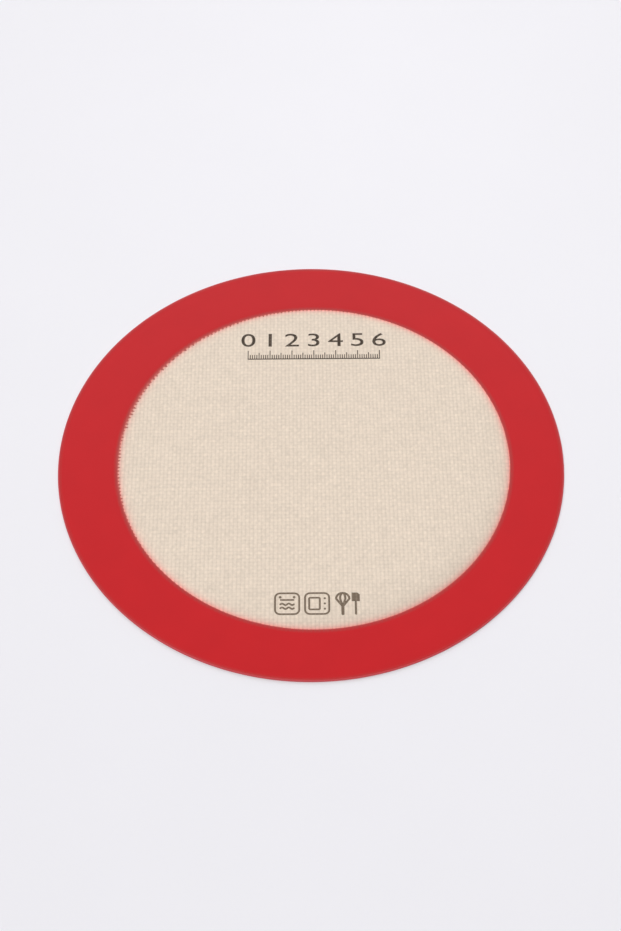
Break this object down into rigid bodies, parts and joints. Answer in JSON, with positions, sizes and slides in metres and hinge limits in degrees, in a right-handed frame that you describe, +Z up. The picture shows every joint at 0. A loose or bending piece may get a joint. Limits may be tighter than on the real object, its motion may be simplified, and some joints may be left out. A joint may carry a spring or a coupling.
{
  "type": "silicone baking mat",
  "caption": "Thin round baking mat: woven glass cloth between two translucent cream silicone coats, with a smooth red silicone border on both faces and a red rim round the edge.",
  "frame": {"origin": "on the resting plane, below the middle of the cut disc", "axes": "+Z up out of the cooking face; +Y from the near side, with the three symbols, to the far side, with the printed measure; +X to the right of a cook who reads the measure"},
  "size_m": [0.22, 0.22, 0.0007],
  "materials": {
    "glass_cloth": "satin",
    "cream_silicone": "satin",
    "red_silicone": "satin",
    "brown_ink": "satin"
  },
  "bodies": {
    "root": {"glass_cloth": "glass_cloth", "top_coat": "cream_silicone", "back_coat": "cream_silicone", "top_border": "red_silicone", "back_border": "red_silicone", "edge_rim": "red_silicone"}
  },
  "joints": []
}
